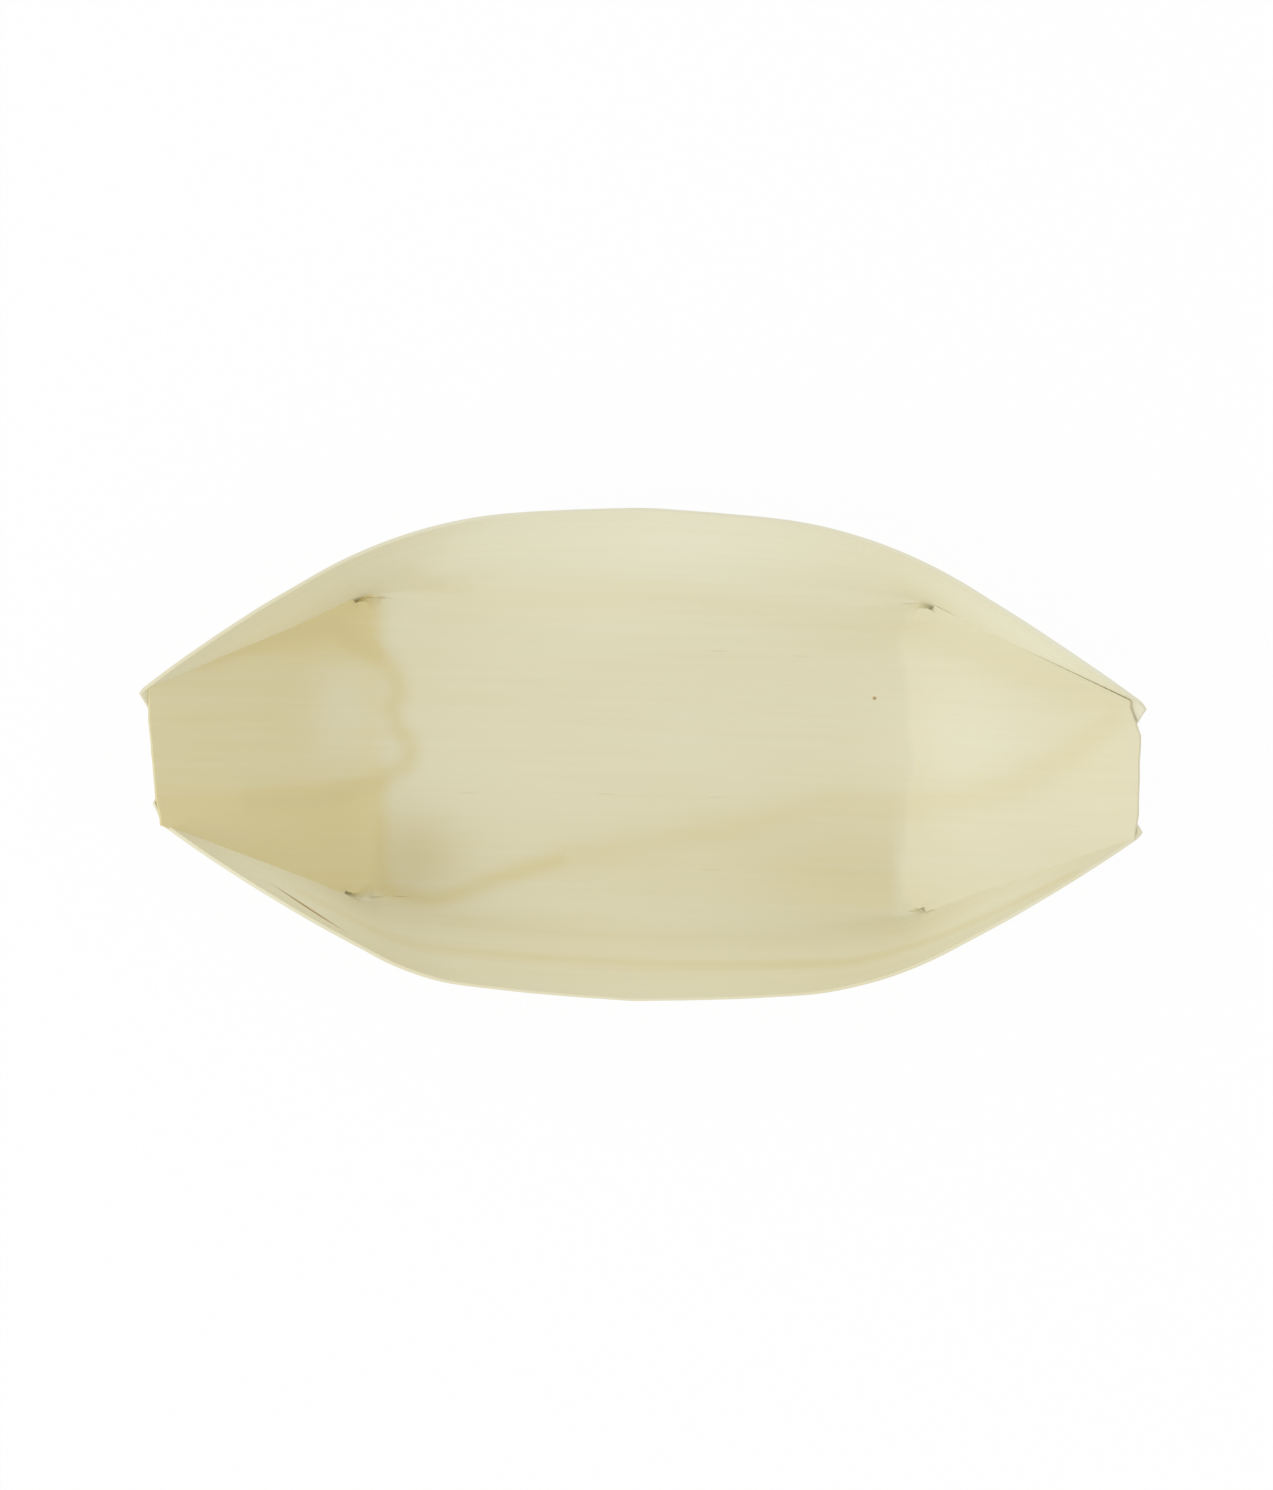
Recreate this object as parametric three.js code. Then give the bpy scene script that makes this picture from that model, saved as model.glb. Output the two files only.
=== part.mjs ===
// Wooden food boat, folded from one blank of thin wood veneer.
// The grain runs along X. Four slits, two from each end, leave a tapered tongue in the middle
// of each end and a wing at each corner. The tongues fold up as ramps and lie inside. The wings
// swing in behind them, and their lower edges wrap flat against the back of the tongue.
// Everything is one sheet, so it is one body. Units are millimetres and +Z is up.
// A place on the flat blank is a distance a along the boat and b across it, from the middle.

import * as THREE from "three";

// The veneer and its flat blank, whose long edges bow gently in towards the corners
const VENEER = 0.6;
const BLANK_HALF_LENGTH = 93.8;
const BLANK_HALF_WIDTH = 47.6;
const BLANK_BOW_POWER = 5;
const SLIT_WIDTH = 0.4;
const SLIT_START = 43.5;

// The middle of the boat: a flat floor that curls up into a sloping wall
const FLOOR_HALF_WIDTH = 17.5;
const WALL_ANGLE_MIDDLE = rad(46);
const WALL_ANGLE_END = rad(58);
const WALL_BEND_MIDDLE = 20;
const WALL_BEND_END = 1.5;
const WALL_CHANGE_POWER = 1.26;

// The tongues, each cut a little shorter than the blank and tapered to its tip
const FOLD_BEYOND_SLIT = 1.8;
const RIGHT_SHORTENING = 1.4;
const LEFT_SHORTENING = 3.8;
const LEFT_SLANT = 0.14;
const RAMP_ANGLE = rad(34.7);
const CRISP_FOLD = 1.2;
const SOFT_FOLD = 20;

// The wings: the soft upright bend that leads into them, which leans in towards the rim, and the
// crease that wraps them round the tongue's edge, with the lap of one wing under the other
const WRAP_BEYOND_SLIT = 4;
const WING_BEND_FOOT = 1;
const WING_FADE = 12;
const WRAP_BEND = 1.2;
const GLUE_FILM = 0.15;
const TONGUE_TO_WRAP = 0.4;
const LAP_START = 1.5;
const LAP_RUN = 4;

// The four corners of the boat differ as handwork does: which end and side they are on, whether
// the wing laps under the other one, the bend of the fold and how much shorter the tongue is, how
// far out the slit lies and how far in the blank's edge bows, how far the wing's bend leans in at
// the rim and how soft it is there, half the tongue's width at its tip, how far back and in from
// the tip its corner was trimmed, how askew its end was cut, and how much shorter than the blank
// the wing was cut
const CORNERS = {
  rightUpper: {
    end: 1, side: 1, laps: true, fold: CRISP_FOLD, shortening: RIGHT_SHORTENING,
    slit: 26.5, narrowing: 5.8, lean: 7.8, rimBend: 19, tip: 10.7, trim: 2.2, trimRun: 4.8,
    slant: 0, wingShortening: 0,
  },
  rightLower: {
    end: 1, side: -1, laps: false, fold: CRISP_FOLD, shortening: RIGHT_SHORTENING,
    slit: 26.1, narrowing: 6.6, lean: 5.6, rimBend: 14.9, tip: 10.3, trim: 0.5, trimRun: 3,
    slant: 0, wingShortening: 0,
  },
  leftUpper: {
    end: -1, side: 1, laps: false, fold: SOFT_FOLD, shortening: LEFT_SHORTENING,
    slit: 24.9, narrowing: 9.2, lean: 6.2, rimBend: 19.3, tip: 8.8, trim: 0.6, trimRun: 4.8,
    slant: -LEFT_SLANT, wingShortening: 0,
  },
  leftLower: {
    end: -1, side: -1, laps: true, fold: SOFT_FOLD, shortening: LEFT_SHORTENING,
    slit: 26.1, narrowing: 11.2, lean: 10.8, rimBend: 8.6, tip: 12.1, trim: 0.5, trimRun: 3,
    slant: LEFT_SLANT, wingShortening: 3.4,
  },
};

// How finely the sheet is divided
const FLOOR_ROWS = 4;
const BEND_ROWS = 6;
const WALL_ROWS = 4;
const FLAP_ROWS = 3;
const PANEL_STEPS = 12;
const LEAD_STEPS = 3;
const WING_STEPS = 11;
const CROSSING_STEPS = 4;
const FLAP_END_STEPS = 2;
const FOLD_STEPS = 6;
const RAMP_STEPS = 4;
const CENTRE_STRIP = 5;
const HALVINGS = 40;
const PROBE = 0.02;

const PALE_WOOD = 0xdcd5b4;

function rad(degrees) {
  return (degrees * Math.PI) / 180;
}

function clamp(value, low, high) {
  return Math.min(Math.max(value, low), high);
}

function ease(value) {
  const part = clamp(value, 0, 1);
  return part * part * (3 - 2 * part);
}

function steps(from, to, count) {
  return Array.from({ length: count + 1 }, (_, i) => from + ((to - from) * i) / count);
}

function vector(x, y, z) {
  return new THREE.Vector3(x, y, z);
}

function along(point, direction, distance) {
  return point.clone().addScaledVector(direction, distance);
}

// A strip that runs flat, turns through an angle on a given radius and runs straight again.
// Returns how far a point of the flat strip has gone forward and how far it has gone up.
function bent(length, start, radius, angle) {
  const arc = radius * angle;
  const turned = clamp(length - start, 0, arc) / radius;
  const beyond = Math.max(length - start - arc, 0);
  return {
    forward: Math.min(length, start) + radius * Math.sin(turned) + beyond * Math.cos(angle),
    up: radius * (1 - Math.cos(turned)) + beyond * Math.sin(angle),
  };
}

// Sizes that follow from the ones above
const FOLD_X = SLIT_START + FOLD_BEYOND_SLIT;
const WRAP_START = SLIT_START + WRAP_BEYOND_SLIT;
const LAYER = VENEER + GLUE_FILM;
for (const corner of Object.values(CORNERS)) {
  corner.foot = corner.slit + SLIT_WIDTH / 2;
  corner.tongue = corner.slit - SLIT_WIDTH / 2;
  corner.tongueEnd = BLANK_HALF_LENGTH - corner.shortening;
  corner.wingEnd = BLANK_HALF_LENGTH - corner.wingShortening;
}

function blankEdge(a, corner) {
  return BLANK_HALF_WIDTH - corner.narrowing * (a / BLANK_HALF_LENGTH) ** BLANK_BOW_POWER;
}

// The section of the middle at a distance a along the boat
function section(a, corner) {
  const change = Math.min(Math.abs(a) / SLIT_START, 1) ** WALL_CHANGE_POWER;
  const angle = WALL_ANGLE_MIDDLE + (WALL_ANGLE_END - WALL_ANGLE_MIDDLE) * change;
  const radius = WALL_BEND_END + (WALL_BEND_MIDDLE - WALL_BEND_END) * (1 - change);
  const floor = corner.foot - (corner.foot - FLOOR_HALF_WIDTH) * (1 - change);
  return { angle, radius, floor, arc: radius * angle };
}

// The fold of a tongue starts before the line where its two planes would meet
function foldStart(corner) {
  return FOLD_X - corner.fold * Math.tan(RAMP_ANGLE / 2);
}

function rampLength(corner) {
  const start = foldStart(corner);
  return corner.tongueEnd - start - corner.fold * RAMP_ANGLE + FOLD_X - start;
}

// A soft fold already lifts the foot of the walls a little before the slits start
function lift(a, corner) {
  return bent(Math.min(a, SLIT_START), foldStart(corner), corner.fold, RAMP_ANGLE).up;
}

function wallPoint(a, b, corner) {
  const { angle, radius, floor } = section(a, corner);
  const { forward, up } = bent(b, floor, radius, angle);
  return vector(a, forward, VENEER / 2 + up + lift(a, corner));
}

function tonguePoint(a, b, corner) {
  const { forward, up } = bent(a, foldStart(corner), corner.fold, RAMP_ANGLE);
  return vector(forward, b, VENEER / 2 + up);
}

function tongueHalfWidth(a, corner) {
  const taper = clamp((a - WRAP_START) / (corner.tongueEnd - WRAP_START), 0, 1);
  return corner.tongue + (corner.tip - corner.tongue) * taper;
}

// The wing of one corner: where it pivots, the crease that wraps it round the tongue's edge, and
// the two planes that meet there
function wingFrame(corner) {
  const up = vector(-Math.sin(RAMP_ANGLE), 0, Math.cos(RAMP_ANGLE));
  const ramp = vector(Math.cos(RAMP_ANGLE), 0, Math.sin(RAMP_ANGLE));
  const across = vector(0, 1, 0);
  const foldLine = vector(FOLD_X, 0, VENEER / 2);
  const pivot = wallPoint(WRAP_START, corner.foot, corner);
  const leanTop = WRAP_START - corner.lean;
  const rim = blankEdge(leanTop, corner);
  const length = rampLength(corner);
  const edge = vector(length - WRAP_BEYOND_SLIT + FOLD_BEYOND_SLIT,
    corner.tip - corner.tongue, 0).normalize();
  const tip = along(along(along(foldLine, ramp, length - edge.y * TONGUE_TO_WRAP),
    across, corner.tip + edge.x * TONGUE_TO_WRAP), up, -LAYER);
  const crease = tip.sub(pivot).normalize();
  const toRim = wallPoint(leanTop, rim, corner).sub(pivot).normalize();
  const lean = Math.atan2(corner.lean, rim - corner.foot);
  const creaseTurn = Math.PI / 2 + lean - Math.acos(toRim.dot(crease));
  const wing = along(toRim, crease, -toRim.dot(crease)).normalize();
  const flap = along(across, crease, -across.dot(crease)).normalize();
  const out = crease.clone().cross(flap);
  const wrapAngle = Math.atan2(wing.dot(out), wing.dot(flap));
  return { pivot, rim, crease, creaseTurn, flap, out, wrapAngle };
}

for (const corner of Object.values(CORNERS)) corner.wing = wingFrame(corner);

function cornerAt(a, b) {
  if (a < 0) return b < 0 ? CORNERS.leftLower : CORNERS.leftUpper;
  return b < 0 ? CORNERS.rightLower : CORNERS.rightUpper;
}

// The part of the wing beyond its bend: a flat leaf, creased once where it wraps
function leafPoint(a, b, corner) {
  const { pivot, crease, creaseTurn, flap, out, wrapAngle } = corner.wing;
  const da = a - WRAP_START;
  const db = b - corner.foot;
  const onCrease = da * Math.cos(creaseTurn) + db * Math.sin(creaseTurn);
  const overCrease = db * Math.cos(creaseTurn) - da * Math.sin(creaseTurn);
  const { forward, up } = bent(overCrease, -wrapHalf(corner), WRAP_BEND, wrapAngle);
  const lap = corner.laps ? LAYER * ease((-overCrease - LAP_START) / LAP_RUN) : 0;
  return along(along(along(pivot, crease, onCrease), flap, forward), out, up - lap);
}

function wrapHalf(corner) {
  return (WRAP_BEND * corner.wing.wrapAngle) / 2;
}

// The side of the boat from the middle to the tip: wall, soft upright bend, leaf
function sidePoint(a, b, corner) {
  const height = Math.max((b - corner.foot) / (corner.wing.rim - corner.foot), 0);
  const bendAt = WRAP_START - corner.lean * height;
  const softness = WING_BEND_FOOT + (corner.rimBend - WING_BEND_FOOT) * height;
  const beyond = a - bendAt;
  let turned = 0;
  if (beyond > softness) turned = beyond;
  else if (beyond > -softness) turned = (beyond + softness) ** 2 / (4 * softness);
  const onWall = wallPoint(bendAt + beyond - turned, b, corner);
  const leafStart = leafPoint(bendAt, b, corner);
  const onLeaf = leafPoint(bendAt + turned, b, corner).sub(leafStart);
  const mismatch = leafStart.sub(wallPoint(bendAt, b, corner));
  return onWall.add(onLeaf).addScaledVector(mismatch, ease((beyond - softness) / WING_FADE));
}

function midPoint(a, b, corner) {
  const onFloor = b <= corner.slit && (a > SLIT_START || b <= section(a, corner).floor);
  return onFloor ? tonguePoint(a, b, corner) : sidePoint(a, b, corner);
}

// The two faces of the veneer at one place of the blank, inside first. The probe keeps to the
// wing's side of a slit, and the veneer's direction there comes from its two tangents.
function faces(a, b) {
  const corner = cornerAt(a, b);
  const [u, v] = [Math.abs(a), Math.abs(b)];
  const isTongue = u > SLIT_START && v < corner.slit;
  const place = isTongue ? (x, y) => tonguePoint(x, y, corner) : (x, y) => midPoint(x, y, corner);
  const low = !isTongue && u >= SLIT_START ? Math.max(v, corner.foot + PROBE) : v;
  const alongBoat = place(u + PROBE, low).sub(place(u - PROBE, low));
  const acrossBoat = place(u, low + PROBE).sub(place(u, low - PROBE));
  const normal = alongBoat.cross(acrossBoat).normalize();
  const middle = place(u, v);
  const mirror = vector(Math.sign(a) || 1, Math.sign(b) || 1, 1);
  return [VENEER / 2, -VENEER / 2].map((h) => along(middle, normal, h).multiply(mirror));
}

// The rows of the blank, as distances from its centre line
function panelRows(a, corner) {
  const { floor, arc } = section(a, corner);
  const strip = SLIT_WIDTH + (CENTRE_STRIP - SLIT_WIDTH) * (1 - a / SLIT_START);
  const wall = floor + arc;
  return [...steps(0, floor - strip, FLOOR_ROWS), ...steps(floor, wall, BEND_ROWS),
    ...steps(wall, blankEdge(a, corner), WALL_ROWS).slice(1)];
}

// The crease's bend, as the distances across the blank where it starts and ends
function creaseBand(a, corner) {
  const creaseLine = corner.foot + (a - WRAP_START) * Math.tan(corner.wing.creaseTurn);
  const half = wrapHalf(corner) / Math.cos(corner.wing.creaseTurn);
  return [creaseLine - half, creaseLine + half];
}

// Where along the boat one side of the crease's bend runs out over the rim or the wing's end
function rimCrossing(corner, edgeOfBend) {
  let [low, high] = [WRAP_START, corner.wingEnd];
  for (let i = 0; i < HALVINGS; i += 1) {
    const middle = (low + high) / 2;
    if (creaseBand(middle, corner)[edgeOfBend] < blankEdge(middle, corner)) low = middle;
    else high = middle;
  }
  return high;
}

function wingColumns(corner) {
  const [reached, left] = [rimCrossing(corner, 1), rimCrossing(corner, 0)];
  return [...new Set([...steps(SLIT_START, WRAP_START, LEAD_STEPS),
    ...steps(WRAP_START, reached, WING_STEPS), ...steps(reached, left, CROSSING_STEPS),
    ...steps(left, corner.wingEnd, FLAP_END_STEPS)])];
}

function wingRows(a, corner) {
  const [bendStart, bendEnd] = creaseBand(a, corner);
  const low = Math.max(corner.foot, bendStart);
  const high = Math.max(corner.foot + section(a, corner).arc, bendEnd);
  const rows = [...steps(corner.foot, low, FLAP_ROWS), ...steps(low, high, BEND_ROWS).slice(1),
    ...steps(high, blankEdge(a, corner), WALL_ROWS).slice(1)];
  return rows.map((b) => Math.min(b, blankEdge(a, corner)));
}

// The sheet: two faces, joined all the way round their edge
const places = new Map();
const flat = [];
const triangles = [];

function pointOf(a, b) {
  const key = `${a.toFixed(4)} ${b.toFixed(4)}`.replaceAll("-0.0000", "0.0000");
  if (!places.has(key)) {
    places.set(key, flat.length);
    flat.push([a, b]);
  }
  return places.get(key);
}

function addTriangle(i, j, k) {
  if (i === j || j === k || k === i) return;
  const [p, q, r] = [flat[i], flat[j], flat[k]];
  const turn = (q[0] - p[0]) * (r[1] - p[1]) - (q[1] - p[1]) * (r[0] - p[0]);
  triangles.push(turn > 0 ? [i, j, k] : [i, k, j]);
}

function addPatch(columns) {
  for (let i = 1; i < columns.length; i += 1) {
    for (let j = 1; j < columns[i].length; j += 1) {
      const [p, q] = [columns[i - 1][j - 1], columns[i][j - 1]];
      const [r, s] = [columns[i][j], columns[i - 1][j]];
      addTriangle(p, q, s);
      addTriangle(q, r, s);
    }
  }
}

function column(corner, a, rows) {
  return rows.map((b) => pointOf(a * corner.end, b * corner.side));
}

// The tongue's last stretch stops short at the trimmed corners and follows the slanted end, and
// its side edge stays on the same taper
function rampColumns(corner) {
  const start = foldStart(corner);
  const bendEnd = start + corner.fold * RAMP_ANGLE;
  const reach = Math.max(bendEnd, WRAP_START);
  const narrowing = (corner.tongue - corner.tip) / (corner.tongueEnd - WRAP_START);
  const columns = [SLIT_START, ...steps(Math.max(start, SLIT_START), bendEnd, FOLD_STEPS),
    reach, ...steps(reach, corner.tongueEnd, RAMP_STEPS)];
  return [...new Set(columns)].map((a) => {
    const part = Math.max(a - reach, 0) / (corner.tongueEnd - reach);
    const halfWidth = tongueHalfWidth(a, corner) / (1 - narrowing * corner.slant * part);
    return steps(0, halfWidth, FLOOR_ROWS).map((b) => {
      const trimmed = corner.trim * clamp((b - corner.tip) / corner.trimRun + 1, 0, 1);
      return pointOf((a - (trimmed + corner.slant * b) * part) * corner.end, b * corner.side);
    });
  });
}

for (const corner of Object.values(CORNERS)) {
  addPatch(steps(0, SLIT_START, PANEL_STEPS).map((a) => column(corner, a, panelRows(a, corner))));
  addPatch(wingColumns(corner).map((a) => column(corner, a, wingRows(a, corner))));
  addPatch(rampColumns(corner));
}

// Edges that only one triangle of the flat mesh uses lie on the rim, the slits and the ends
function rimEdges() {
  const used = new Map();
  for (const [i, j, k] of triangles) {
    for (const [from, to] of [[i, j], [j, k], [k, i]]) {
      const back = `${to} ${from}`;
      if (used.has(back)) used.delete(back);
      else used.set(`${from} ${to}`, [from, to]);
    }
  }
  return [...used.values()];
}

function sheetGeometry() {
  const count = flat.length;
  const both = flat.map(([a, b]) => faces(a, b));
  const positions = [0, 1].flatMap((face) => both.flatMap((pair) => pair[face].toArray()));
  const inside = triangles.flat();
  const outside = triangles.flatMap(([i, j, k]) => [i + count, k + count, j + count]);
  const rim = rimEdges().flatMap(([i, j]) => [i, i + count, j, j, i + count, j + count]);
  const geometry = new THREE.BufferGeometry();
  geometry.setAttribute("position", new THREE.Float32BufferAttribute(positions, 3));
  geometry.setIndex([...inside, ...outside, ...rim]);
  geometry.computeBoundingBox();
  const centre = geometry.boundingBox.getCenter(vector(0, 0, 0));
  geometry.translate(-centre.x, -centre.y, 0);
  geometry.computeVertexNormals();
  return geometry;
}

const wood = new THREE.MeshStandardMaterial({ color: PALE_WOOD, roughness: 0.7, metalness: 0 });
const boat = new THREE.Mesh(sheetGeometry(), wood);
boat.name = "veneer_boat";

const part = new THREE.Group();
part.name = "wooden_food_boat";
part.add(boat);

export default part;
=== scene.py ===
# %% [markdown]
# # A wooden food boat
#
# The real boat is one sheet of thin pale wood, slit twice from each end and folded while damp.
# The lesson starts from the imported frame, which gives the solid boat and its exact size. The
# sheet itself is then laid out flat, cut, folded by the same folds as the solid, and given the
# look of veneer.

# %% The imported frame
import math
import bpy
from mathutils import Matrix, Vector, noise


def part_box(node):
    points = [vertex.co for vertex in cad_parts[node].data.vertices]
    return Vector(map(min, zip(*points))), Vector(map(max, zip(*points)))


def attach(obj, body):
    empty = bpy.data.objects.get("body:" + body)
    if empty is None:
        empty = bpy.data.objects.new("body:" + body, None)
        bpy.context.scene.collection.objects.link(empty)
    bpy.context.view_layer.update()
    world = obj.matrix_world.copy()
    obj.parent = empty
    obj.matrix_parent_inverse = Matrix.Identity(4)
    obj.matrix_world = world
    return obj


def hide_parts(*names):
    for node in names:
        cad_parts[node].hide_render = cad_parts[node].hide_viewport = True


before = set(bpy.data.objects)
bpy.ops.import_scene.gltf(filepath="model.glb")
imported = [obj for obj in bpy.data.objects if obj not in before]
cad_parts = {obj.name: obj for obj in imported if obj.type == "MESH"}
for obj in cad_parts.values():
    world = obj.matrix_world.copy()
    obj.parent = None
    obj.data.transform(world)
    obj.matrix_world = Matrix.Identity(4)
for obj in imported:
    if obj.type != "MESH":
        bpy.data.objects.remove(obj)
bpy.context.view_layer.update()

MM = 0.001

# %% [markdown]
# ## The camera
#
# The boat was seen almost straight from above by a long lens, a little from its far side, and
# turned slightly in the picture. A camera could be turned by trial, but here it is set from
# named angles. It leans by `LEAN` and rolls by `TURN`, and its three axes are written down as a
# small matrix. Its lens is worked out from how many picture points one millimetre covers, so
# that the boat fills the frame as it should.

# %% Camera
PICTURE_WIDTH = 1273
PICTURE_HEIGHT = 1490
POINTS_PER_MM = 5.921
BOAT_MIDDLE_ACROSS = 641.29
BOAT_MIDDLE_DOWN = 751.19
LEAN = math.radians(2.17)
TURN = math.radians(1.64)
CAMERA_DISTANCE = 1600 * MM
FOCUS_HEIGHT = 20 * MM
FILM_WIDTH = 36

right_way = Vector((math.cos(TURN), math.sin(TURN), 0))
up_way = Vector((-math.sin(TURN) * math.cos(LEAN), math.cos(TURN) * math.cos(LEAN), -math.sin(LEAN)))
view_way = right_way.cross(up_way)
aim = (right_way * (PICTURE_WIDTH / 2 - BOAT_MIDDLE_ACROSS) * MM / POINTS_PER_MM
       + up_way * (BOAT_MIDDLE_DOWN - PICTURE_HEIGHT / 2) * MM / POINTS_PER_MM)
lens = bpy.data.cameras.new("long_lens")
lens.sensor_fit = "HORIZONTAL"
lens.sensor_width = FILM_WIDTH
lens.lens = FILM_WIDTH * CAMERA_DISTANCE / (PICTURE_WIDTH * MM / POINTS_PER_MM)
lens.clip_end = 10
camera = bpy.data.objects.new("camera", lens)
bpy.context.collection.objects.link(camera)
camera.location = aim + view_way * (CAMERA_DISTANCE + FOCUS_HEIGHT)
camera.rotation_euler = Matrix((right_way, up_way, view_way)).transposed().to_euler()
bpy.context.scene.camera = camera
print("lens, in mm:", round(lens.lens, 1))

# %% [markdown]
# ## Small helpers for materials
#
# A finish is a tree of nodes. Nodes can be placed by hand in the shader editor, but a script
# can be read and rerun. Four helpers keep the later cells short: `put` joins a value to a socket
# or writes it there, `add_node` makes a node, `do_sum` does a sum and `blend_colour` mixes two
# colours.

# %% Material helpers
def put(tree, socket, value):
    if isinstance(value, bpy.types.NodeSocket):
        tree.links.new(value, socket)
    elif value is not None:
        socket.default_value = value


def add_node(tree, kind, inputs=(), **settings):
    made = tree.nodes.new(kind)
    for name, value in settings.items():
        setattr(made, name, value)
    for name, value in dict(inputs).items():
        put(tree, made.inputs[name], value)
    return made


def do_sum(tree, operation, first, second):
    return add_node(tree, "ShaderNodeMath", {0: first, 1: second}, operation=operation).outputs[0]


def blend_colour(tree, factor, first, second, mode="MIX"):
    made = add_node(tree, "ShaderNodeMix", data_type="RGBA", blend_type=mode)
    for socket, value in ((0, factor), (6, first), (7, second)):
        put(tree, made.inputs[socket], value)
    return made.outputs[2]


# %% [markdown]
# ## Floor and background
#
# The boat lies on a white sweep, so the background is white and only a breath of shadow shows.
# A brighter lamp could make the floor white, but it would wash the wood out. So the floor shows
# white to the camera by itself and keeps a small part of its matt finish, which takes the
# shadow. The sky does the same: it is white to look at, and lights the wood at a plain level.

# %% Floor and background
FLOOR_SIZE = 4
FLOOR_DROP = 0.05 * MM
WHITE_SHARE = 0.96
SKY_STRENGTH = 0.87
bpy.ops.object.select_all(action="DESELECT")
bpy.ops.mesh.primitive_plane_add(size=FLOOR_SIZE, location=(0, 0, -FLOOR_DROP))
floor = bpy.context.object
floor.name = "white_floor"
floor_finish = bpy.data.materials.new("white_sweep")
floor_finish.use_nodes = True
nodes = floor_finish.node_tree
nodes.nodes.clear()
floor_out = add_node(nodes, "ShaderNodeOutputMaterial")
matt = add_node(nodes, "ShaderNodeBsdfDiffuse", {"Color": (0.9, 0.9, 0.9, 1)})
white = add_node(nodes, "ShaderNodeEmission", {"Color": (1, 1, 1, 1), "Strength": 1.0})
path = add_node(nodes, "ShaderNodeLightPath")
seen = do_sum(nodes, "MAXIMUM", path.outputs["Is Camera Ray"], path.outputs["Is Glossy Ray"])
share = do_sum(nodes, "MULTIPLY", seen, WHITE_SHARE)
mixed = add_node(nodes, "ShaderNodeMixShader", {0: share, 1: matt.outputs[0], 2: white.outputs[0]})
put(nodes, floor_out.inputs["Surface"], mixed.outputs[0])
floor.data.materials.append(floor_finish)

world = bpy.data.worlds.new("white_room")
bpy.context.scene.world = world
world.use_nodes = True
sky = world.node_tree
sky.nodes.clear()
sky_out = add_node(sky, "ShaderNodeOutputWorld")
sky_light = add_node(sky, "ShaderNodeBackground", {"Color": (1, 1, 1, 1), "Strength": SKY_STRENGTH})
sky_white = add_node(sky, "ShaderNodeBackground", {"Color": (1, 1, 1, 1), "Strength": 1.0})
sky_path = add_node(sky, "ShaderNodeLightPath")
sky_seen = do_sum(sky, "MAXIMUM", sky_path.outputs["Is Camera Ray"], sky_path.outputs["Is Glossy Ray"])
sky_seen = do_sum(sky, "MAXIMUM", sky_seen, sky_path.outputs["Is Transmission Ray"])
sky_mix = add_node(sky, "ShaderNodeMixShader", {
    0: sky_seen, 1: sky_light.outputs[0], 2: sky_white.outputs[0]})
put(sky, sky_out.inputs["Surface"], sky_mix.outputs[0])
bpy.context.scene.view_settings.view_transform = "Standard"
print("floor", FLOOR_SIZE, "m, sky strength", SKY_STRENGTH)

# %% [markdown]
# ## The lamp
#
# The real boat was lit softly from the left, so its right hand tongue, which faces left, is the
# brightest part and the left one is the darkest. A sun lamp could do it, but its shadows have
# hard edges. One wide disk close by gives the same slope of light with soft edges.

# %% Lamp
def add_lamp(name, place, size, power):
    lamp = bpy.data.lights.new(name, "AREA")
    lamp.shape = "DISK"
    lamp.size = size
    lamp.energy = power
    holder = bpy.data.objects.new(name, lamp)
    bpy.context.collection.objects.link(holder)
    holder.location = place
    holder.rotation_euler = (-Vector(place)).to_track_quat("-Z", "Y").to_euler()
    return holder


key = add_lamp("key_left", (-0.9, -0.35, 0.75), 0.7, 2.7)
print(key.name, "stands", round(key.location.length, 2), "m away")

# %% [markdown]
# ## Sizes of the sheet
#
# The blank is a thin sheet with gently bowed long edges. A place on it is `a` along the boat and
# `b` across, both from the middle. Two slits at each end part the middle strip, the tongue, from
# the wings beside it. The tongue is folded up as a ramp, and each wing is wrapped round its edge
# to the back of it. The same folds as the solid's are named here, in millimetres, because a
# fold is easier to read in them.
#
# The four corners differ, as handwork does. The right fold is crisp and the left one is a wide
# soft bend, the left end was cut askew, and two of the wings lap over the other two. On the real
# boat the layers touch and the slits are closed up. The solid leaves room between its layers, so
# the dressed sheet has narrower slits and a tongue that fills the wrap.

# %% Sheet and fold sizes
VENEER = 0.6
BLANK_HALF_LENGTH = 93.8
BLANK_HALF_WIDTH = 47.6
BLANK_BOW_POWER = 5
SLIT_WIDTH = 0.03
SLIT_START = 43.5
FLOOR_HALF_WIDTH = 17.5
WALL_ANGLES = (math.radians(46), math.radians(58))
WALL_BENDS = (20, 1.5)
WALL_CHANGE_POWER = 1.26
FOLD_BEYOND_SLIT = 1.8
RAMP_ANGLE = math.radians(34.7)
WRAP_BEYOND_SLIT = 4
WING_BEND_FOOT = 1
WING_FADE = 12
WRAP_BEND = 1.2
GLUE_FILM = 0.04
TONGUE_TO_WRAP = 0.4
TONGUE_FILLS_WRAP = (1.05, 1.15)
LAP_START = 1.5
LAP_RUN = 4
CRISP_FOLD = 1.2
SOFT_FOLD = 20
CUT_SHORT = 0.28
LEFT_SLANT = 0.14
FOLD_X = SLIT_START + FOLD_BEYOND_SLIT
WRAP_START = SLIT_START + WRAP_BEYOND_SLIT
LAYER = VENEER + GLUE_FILM
RIGHT_END = {"fold": CRISP_FOLD, "tongue_end": BLANK_HALF_LENGTH - 1.4}
LEFT_END = {"fold": SOFT_FOLD, "tongue_end": BLANK_HALF_LENGTH - 3.8}
FULL_WING = BLANK_HALF_LENGTH - CUT_SHORT
SHORT_WING = BLANK_HALF_LENGTH - 3.4
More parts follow.
